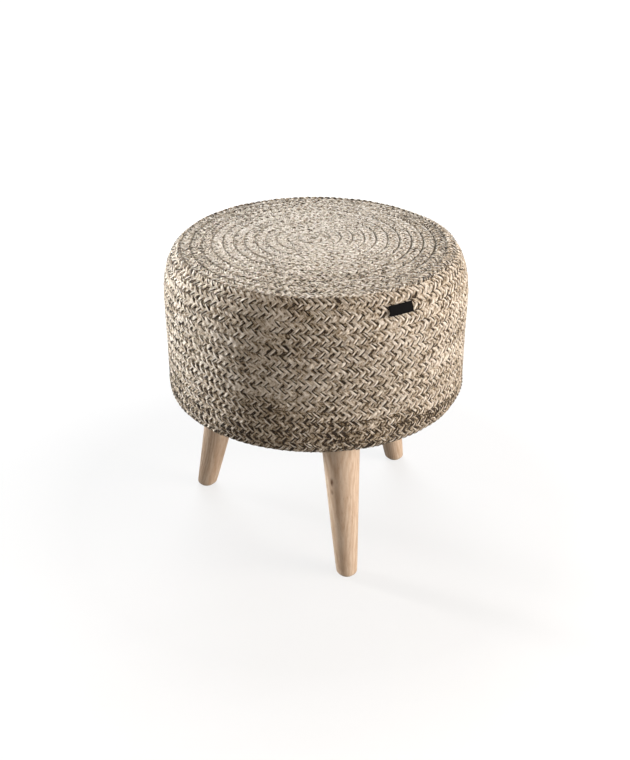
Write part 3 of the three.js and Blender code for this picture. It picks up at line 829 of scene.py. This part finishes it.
screw_points = bpy.data.meshes.new("plate_screw_points")
screw_points.from_pydata([
    at_station(leg, PLATE_PLACE + x * SCREW_PLACE, y * SCREW_PLACE, SCREW_SEAT)
    for leg in LEG_TURNS for x, y in ((1, 1), (-1, 1), (-1, -1), (1, -1))], [], [])
screws = grown("plate_screws", screw_points, screwing, SCREW, zinc)
fit_piece(screws, "steel", *(f"plate_screw_{leg}_{i}" for leg in LEG_TURNS for i in range(1, 5)))


# Legs
# Three legs of pale rubberwood, turned to a plain taper, splayed outwards, and cut level at the foot.
# Each is bored at the top for its bolt, sanded, and finished with a thin matt lacquer.

LEG_SPLAY = math.radians(12.5)
LEG_TOP_RADIUS = 0.026
LEG_TOP_EDGE = 0.0015
FOOT_RADIUS = 0.014
FOOT_EDGE = 0.004
FOOT_BLEND = 0.040
FOOT_ALONG = 0.002356
LEG_TOP_ALONG = 0.202366
LEG_BORE_RADIUS = 0.0043
LEG_BORE_DEPTH = 0.0303
FOOT_PLACE = PLATE_PLACE + PLATE_BOTTOM * math.tan(LEG_SPLAY)
LEG_SIDES = 72
FOOT_STEPS = 6
TAPER_STEPS = 20
TOP_STEPS = 4
GRAIN_STEP = 0.6  # sets each leg at another place in the grain

# Rubberwood, turned across its growth rings: pale, straight, brownish streaks with short, darker pores
# along the leg, under a thin matt lacquer. The front leg has one small knot, of two spots that join.
PITH_OFFSET = (0.045, -0.03, 0)
PITH_DRAW = (1, 1, 0.04)  # draws the rings out along the leg, as KNOT_DRAW does the knot
RINGS = 300.0  # in each metre
RING_DRIFT = 4.0
STREAK_SHARE = 0.6
PORE_RANGE = (0.30, 0.40, 0.35, 0.0)
PORE_RELIEF = 0.00015
# Each spot of the knot: its place, and how much smaller it is
KNOTS = (((0.0135, -0.0175, 0.1373), 0.0), ((0.0120, -0.0175, 0.1229), 0.0011))
KNOT_DRAW = (1, 1, 0.5)
KNOT_RAGGEDNESS = (0.0030, -0.0012)
KNOT_RANGE = (0.0012, 0.0038, 0.95, 0.0)

rubberwood, add, shader = new_finish("rubberwood_turned_lacquered", Roughness=0.48, IOR=1.5)
wood_at = add("Attribute", attribute_name="grain").outputs["Vector"]


def wood_noise(fibres, detail):
    """Noise in the leg's own frame, with its repeats in each metre on each axis."""
    stretched = add("VectorMath MULTIPLY", [wood_at, fibres])
    return add("TexNoise", {"Vector": stretched, "Scale": 1.0, "Detail": detail}).outputs["Fac"]


from_pith = add("VectorMath ADD", [wood_at, PITH_OFFSET])
pith = add("VectorMath MULTIPLY", [from_pith, PITH_DRAW])
ring_reach = add("VectorMath LENGTH", [pith]).outputs["Value"]
ring_drift = add("MULTIPLY", [wood_noise((45, 45, 11), 3.0), RING_DRIFT])
rings = add("MULTIPLY_ADD", [ring_reach, RINGS, ring_drift])
ring_share = add("PINGPONG", [rings, 0.5])
figure = add("Mix", {
    "Factor": STREAK_SHARE, "A": ring_share, "B": wood_noise((240, 240, 40), 4.0)}, data_type="FLOAT")
wood_colour = add("ValToRGB", [figure.outputs["Result"]], [
    (0.22, "#bba189"), (0.36, "#c8b29c"), (0.50, "#d3c1ae"), (0.66, "#dbccbb")])
pores = wood_noise((1500, 1500, 90), 1.0)
pore_share = add("MapRange", [pores, *PORE_RANGE])
with_pores = add("Mix", {0: pore_share, 6: wood_colour, 7: linear("#8a6c4f")}, data_type="RGBA").outputs[2]
knot_ragged = add("MULTIPLY_ADD", [wood_noise((500, 500, 160), 3.0), *KNOT_RAGGEDNESS])
knot_reach = 1.0
for knot_place, smaller in KNOTS:
    from_knot = add("VectorMath SUBTRACT", [wood_at, knot_place])
    away = add("VectorMath MULTIPLY", [from_knot, KNOT_DRAW])
    reach = add("VectorMath LENGTH", [away]).outputs["Value"]
    shrunk = add("ADD", [reach, smaller])
    knot_reach = add("MINIMUM", [knot_reach, shrunk])
knot_all = add("ADD", [knot_reach, knot_ragged])
knot_share = add("MapRange", [knot_all, *KNOT_RANGE])
with_knot = add("Mix", {0: knot_share, 6: with_pores, 7: linear("#5c3d24")}, data_type="RGBA").outputs[2]
put_on(shader, with_knot, pores, PORE_RELIEF)


def leg_rings():
    """(radius, place along the leg, slope across it) from the foot to the bottom of the bore."""
    level = -math.tan(LEG_SPLAY)
    length = LEG_TOP_ALONG - FOOT_ALONG
    foot_middle = (FOOT_RADIUS - FOOT_EDGE, FOOT_ALONG + FOOT_EDGE)
    foot = [(0, FOOT_ALONG), *quarter(foot_middle, FOOT_EDGE, FOOT_EDGE, 0, FOOT_STEPS)[::-1]]
    taper = []
    for i in range(1, TAPER_STEPS):
        along = FOOT_EDGE + (length - LEG_TOP_EDGE - FOOT_EDGE) * i / TAPER_STEPS
        radius = FOOT_RADIUS + (LEG_TOP_RADIUS - FOOT_RADIUS) * along / length
        taper.append((radius, FOOT_ALONG + along, level * max(0, 1 - along / FOOT_BLEND)))
    top_middle = (LEG_TOP_RADIUS - LEG_TOP_EDGE, LEG_TOP_ALONG - LEG_TOP_EDGE)
    top = quarter(top_middle, LEG_TOP_EDGE, LEG_TOP_EDGE, math.pi / 2, TOP_STEPS)[::-1]
    bore_end = LEG_TOP_ALONG - LEG_BORE_DEPTH
    bore = [(LEG_BORE_RADIUS, LEG_TOP_ALONG), (LEG_BORE_RADIUS, bore_end), (0, bore_end)]
    return [(*point, level) for point in foot] + taper + [(*point, 0) for point in top + bore]


def leg_form():
    """A bmesh of a leg in its own frame: +X outwards, +Z up along its axis."""
    form = bmesh.new()
    rings = []
    for radius, along, slope in leg_rings():
        turns = [FULL_TURN * i / LEG_SIDES for i in range(LEG_SIDES if radius > 0 else 1)]
        rings.append([
            form.verts.new((radius * math.cos(t), radius * math.sin(t), along + slope * radius * math.cos(t)))
            for t in turns])
    join_rings(form, rings, LEG_SIDES)
    return form


for number, leg in enumerate(LEG_TURNS):
    piece = new_piece(f"turned_leg_{leg}", leg_form(), rubberwood)
    mesh = piece.data
    own = [vert.co.copy() for vert in mesh.vertices]
    grain = [x for point in own for x in (point + Vector((0, 0, GRAIN_STEP * number)))]
    mesh.attributes.new("grain", "FLOAT_VECTOR", "POINT").data.foreach_set("vector", grain)
    for vert, point in zip(mesh.vertices, own):
        outward = FOOT_PLACE + point.x * math.cos(LEG_SPLAY) - point.z * math.sin(LEG_SPLAY)
        height = point.x * math.sin(LEG_SPLAY) + point.z * math.cos(LEG_SPLAY)
        vert.co = at_station(leg, outward, point.y, height)
    fit_piece(piece, "leg_wood", f"leg_{leg}")


# Glides
# Under each foot a moulded polyethylene disc, with a steel nail through it, keeps the wood off the
# floor. Its rim is rounded, its face is worn a little dull, and the nail's head is sunk in it.

GLIDE_SEAT = 0.0023
GLIDE_PLACE = FOOT_PLACE - GLIDE_SEAT * math.tan(LEG_SPLAY)
GLIDE_RADIUS = 0.010
GLIDE_HEIGHT = 0.002
GLIDE_EDGE = 0.0008
GLIDE_EDGE_STEPS = 5
GLIDE_SIDES = 40
NAIL_RADIUS = 0.00125
NAIL_LENGTH = 0.015
NAIL_POINT = 0.002
NAIL_HEAD_RADIUS = 0.0028
NAIL_HEAD_DEPTH = 0.0002
NAIL_HOLLOW_RADIUS = 0.0034

# Moulded polyethylene: waxy and beige, with faint flow marks and a finely worn face.
polyethylene, add, shader = new_finish("polyethylene_moulded", Roughness=0.45, IOR=1.51)
flow = grain_of(add, (120, 120, 120))
wear = add("MapRange", {"Value": grain_of(add, (900, 900, 900)), "To Min": 0.35, "To Max": 0.6})
flow_colour = add("ValToRGB", [flow], [(0.3, "#c2b49a"), (0.6, "#cfc3ab"), (0.8, "#d8ceb9")])
put_on(shader, flow_colour, flow, depth=0.00005, roughness=wear)

rim_middle = (GLIDE_RADIUS - GLIDE_EDGE, GLIDE_EDGE)
rim = quarter(rim_middle, GLIDE_EDGE, GLIDE_EDGE, 0, GLIDE_EDGE_STEPS)[::-1]
glide_outline = [
    (0, NAIL_HEAD_DEPTH), (NAIL_HEAD_RADIUS, NAIL_HEAD_DEPTH), (NAIL_HOLLOW_RADIUS, 0), *rim,
    (GLIDE_RADIUS, GLIDE_HEIGHT), (NAIL_RADIUS, GLIDE_HEIGHT),
    (NAIL_RADIUS, GLIDE_HEIGHT + NAIL_LENGTH - NAIL_POINT), (0, GLIDE_HEIGHT + NAIL_LENGTH)]
for leg in LEG_TURNS:
    form = lathed(glide_outline, GLIDE_SIDES)
    middle = at_station(leg, GLIDE_PLACE, 0, 0)
    for vert in form.verts:
        vert.co += middle
    fit_piece(new_piece(f"moulded_glide_{leg}", form, polyethylene), "glide_plastic", f"foot_glide_{leg}")


# Label
# A blank strip of black woven satin, its two short ends folded under, is sewn to the plait at the
# upper right of the front with a few stitches at each end.

LABEL_WIDTH = 0.034
LABEL_HEIGHT = 0.0125
LABEL_TURN = math.radians(17)
LABEL_DISTANCE = 0.2031
LABEL_LIFT = 0.0009
LABEL_CLOTH = 0.0004
LABEL_FOLD = 0.0042
LABEL_SKIN_SHARE = 0.9  # the strip is a little thinner than its cloth, so that the fold has a gap
LABEL_WAVE = 0.00012  # how far the cloth follows the yarns under it
LABEL_WAVE_ALONG = 0.0021
LABEL_WAVE_DOWN = 0.0019
FACE_STEPS = 32
BEND_STEPS = 6
FOLD_STEPS = 4
DOWN_STEPS = 10
STITCH_COUNT = 5
STITCH_INSET = 0.0012
STITCH_FIRST_SHARE = 0.14  # of the label's height, as is the step from one stitch to the next
STITCH_STEP_SHARE = 0.18
STITCH_DROP = 0.0010
STITCH = {"Length": 0.0017, "Thread": 0.0004}

# Woven satin: near black and a little glossy along its threads. The 0.15 mm threads are drawn 0.5 mm
# wide, so that they show.
satin, add, shader = new_finish("polyester_satin_woven", Roughness=0.85, IOR=1.5, Specular_IOR_Level=0.06)
place = add("TexCoord")
weft = add("TexWave", {
    "Vector": place.outputs["Object"], "Scale": 330.0, "Distortion": 0.6}, bands_direction="Z").outputs["Fac"]
satin_colour = add("ValToRGB", [weft], [(0.2, "#0a0a0b"), (0.8, "#161618")])
put_on(shader, satin_colour, weft, depth=0.0001)


def on_label(along, down, lift):
    """A point of the label: along its width and down its height from its middle, lifted off the plait."""
    (radius, height), (reach, climb) = cover_place(LABEL_DISTANCE + down)
    wave = LABEL_WAVE * math.sin(along / LABEL_WAVE_ALONG) * math.cos(down / LABEL_WAVE_DOWN)
    out = LABEL_LIFT + lift + wave
    return spun(radius - climb * out, height + reach * out, LABEL_TURN + along / DRUM_RADIUS)


half = LABEL_WIDTH / 2 - LABEL_CLOTH
face_run = [(-half + 2 * half * i / FACE_STEPS, LABEL_CLOTH * 1.5) for i in range(FACE_STEPS + 1)]
bend_turns = [math.pi * i / BEND_STEPS for i in range(1, BEND_STEPS)]
bend_run = [
    (half + LABEL_CLOTH * math.sin(t) * LABEL_SKIN_SHARE, LABEL_CLOTH * (1 + 0.5 * math.cos(t)))
    for t in bend_turns]
under_run = [(half - LABEL_FOLD * i / FOLD_STEPS, LABEL_CLOTH * 0.5) for i in range(FOLD_STEPS + 1)]
end_run = bend_run + under_run
label_run = [(-x, lift) for x, lift in reversed(end_run)] + face_run + end_run
label_form = bmesh.new()
sheet_rows = []
for side in (-0.5, 0.5):
    for i, (x, lift) in enumerate(label_run):
        (x0, l0), (x1, l1) = label_run[max(0, i - 1)], label_run[min(len(label_run) - 1, i + 1)]
        length = math.hypot(x1 - x0, l1 - l0)
        along = x - (l1 - l0) / length * side * LABEL_CLOTH * LABEL_SKIN_SHARE
        raised = lift + (x1 - x0) / length * side * LABEL_CLOTH * LABEL_SKIN_SHARE
        downs = [LABEL_HEIGHT * (j / DOWN_STEPS - 0.5) for j in range(DOWN_STEPS + 1)]
        sheet_rows.append([label_form.verts.new(on_label(along, down, raised)) for down in downs])
count = len(label_run)
ring_rows = sheet_rows[:count] + sheet_rows[count:][::-1]
for here, there in zip(ring_rows, ring_rows[1:] + ring_rows[:1]):
    for j in range(DOWN_STEPS):
        label_form.faces.new([here[j], here[j + 1], there[j + 1], there[j]])
for j in (0, DOWN_STEPS):
    for i in range(count - 1):
        rows = (sheet_rows[i], sheet_rows[i + 1], sheet_rows[count + i + 1], sheet_rows[count + i])
        label_form.faces.new([row[j] for row in rows])
label = new_piece("woven_label", label_form, satin)
fit_piece(label, "label", "side_label")

stitching, add, given = new_tree("stitching", STITCH)
stitch = add("GeometryNodeMeshIcoSphere", {"Radius": 0.5, "Subdivisions": 2})
stitch_size = add("CombineXYZ", [given["Thread"], given["Thread"], given["Length"]])
facing = add("GeometryNodeInputNamedAttribute", {"Name": "down"}, data_type="FLOAT_VECTOR")
upright = add("FunctionNodeAlignRotationToVector", {"Vector": facing}, axis="Z")
sewn = add("GeometryNodeInstanceOnPoints", {
    "Points": given["Geometry"], "Instance": stitch.outputs["Mesh"], "Rotation": upright,
    "Scale": stitch_size})
close_tree(add, sewn, given["Finish"])

stitch_points, stitch_downs = [], []
for along in (-half + STITCH_INSET, half - STITCH_INSET):
    for i in range(STITCH_COUNT):
        down = LABEL_HEIGHT * (STITCH_FIRST_SHARE + STITCH_STEP_SHARE * i - 0.5)
        here = on_label(along, down, LABEL_CLOTH * 2)
        there = on_label(along, down + STITCH_DROP, LABEL_CLOTH * 2)
        stitch_points.append((here + there) / 2)
        stitch_downs.extend((there - here).normalized())
stitch_mesh = bpy.data.meshes.new("label_stitch_points")
stitch_mesh.from_pydata(stitch_points, [], [])
stitch_mesh.attributes.new("down", "FLOAT_VECTOR", "POINT").data.foreach_set("vector", stitch_downs)
stitches = grown("label_stitches", stitch_mesh, stitching, STITCH, satin)
fit_piece(stitches, "label")


# Studio
# A paper floor in a white surround. Soft lamps stand behind the stool, to its right and, a weak one, in
# front of it, and a small one with a grid over it stands to its left. The lamps fall on a grey floor,
# and the camera sees that floor glow white, with the stool's shadow on it.

FLOOR_GREY = "#6a6a6a"
FLOOR_SIZE = 12
GLOW_RANGE = (0.35, 0.9, 0.75, 1.0)  # two distances, in metres, and the glow at each
AMBIENT = 0.37
LAMP_AIM = (0, 0, 0.3)

floor_finish, add, shader = new_finish("white_paper_floor", Roughness=1.0)
shader.inputs["Base Color"].default_value = linear(FLOOR_GREY)
ray = add("LightPath")
place = add("TexCoord")
reach = add("VectorMath LENGTH", [place.outputs["Object"]]).outputs["Value"]
away = add("MapRange", [reach, *GLOW_RANGE])
glow_share = add("MULTIPLY", [ray.outputs["Is Camera Ray"], away])
glow = add("Emission", {"Color": (1, 1, 1, 1), "Strength": glow_share})
both = add("AddShader", [shader.outputs[0], glow])
floor_tree = floor_finish.node_tree
floor_tree.links.new(both.outputs[0], floor_tree.nodes["Material Output"].inputs["Surface"])
floor_form = bmesh.new()
bmesh.ops.create_grid(floor_form, x_segments=1, y_segments=1, size=FLOOR_SIZE)
floor = new_piece("floor", floor_form, floor_finish)

world = bpy.data.worlds.new("studio")
bpy.context.scene.world = world
world.use_nodes = True
world_tree = world.node_tree
add = partial(add_node, world_tree)
ray = add("LightPath")
seen = add("MAXIMUM", [ray.outputs["Is Camera Ray"], ray.outputs["Is Glossy Ray"]])
surround = add("Mix", {0: seen, 6: linear("#ffecda"), 7: (1, 1, 1, 1)}, data_type="RGBA")
strength = add("MapRange", {"Value": seen, "To Min": AMBIENT, "To Max": 1.0})
world_tree.links.new(surround.outputs[2], world_tree.nodes["Background"].inputs["Color"])
world_tree.links.new(strength.outputs[0], world_tree.nodes["Background"].inputs["Strength"])


def softbox(name, place, aim, size, power, colour, spread=math.pi):
    """A square soft lamp at a place, aimed at a point; a grid over it narrows its spread."""
    lamp = bpy.data.lights.new(name, "AREA")
    lamp.shape = "SQUARE"
    lamp.size = size
    lamp.energy = power
    lamp.spread = spread
    lamp.color = linear(colour)[:3]
    holder = bpy.data.objects.new(name, lamp)
    holder.location = place
    holder.rotation_euler = (Vector(aim) - Vector(place)).to_track_quat("-Z", "Y").to_euler()
    bpy.context.scene.collection.objects.link(holder)


softbox("lamp_behind", (0.05, 1.30, 1.20), LAMP_AIM, 1.0, 30, "#ecf6ff")
softbox("lamp_front", (-0.55, -1.60, 0.70), LAMP_AIM, 1.2, 4.0, "#fff3e6")
softbox("lamp_left", (-1.30, 0.90, 0.54), (-0.27, -0.19, 0.33), 0.4, 3.1, "#fdfaf6", math.radians(31))
softbox("lamp_right", (1.40, -0.82, 0.64), LAMP_AIM, 0.9, 37, "#fff3e8")
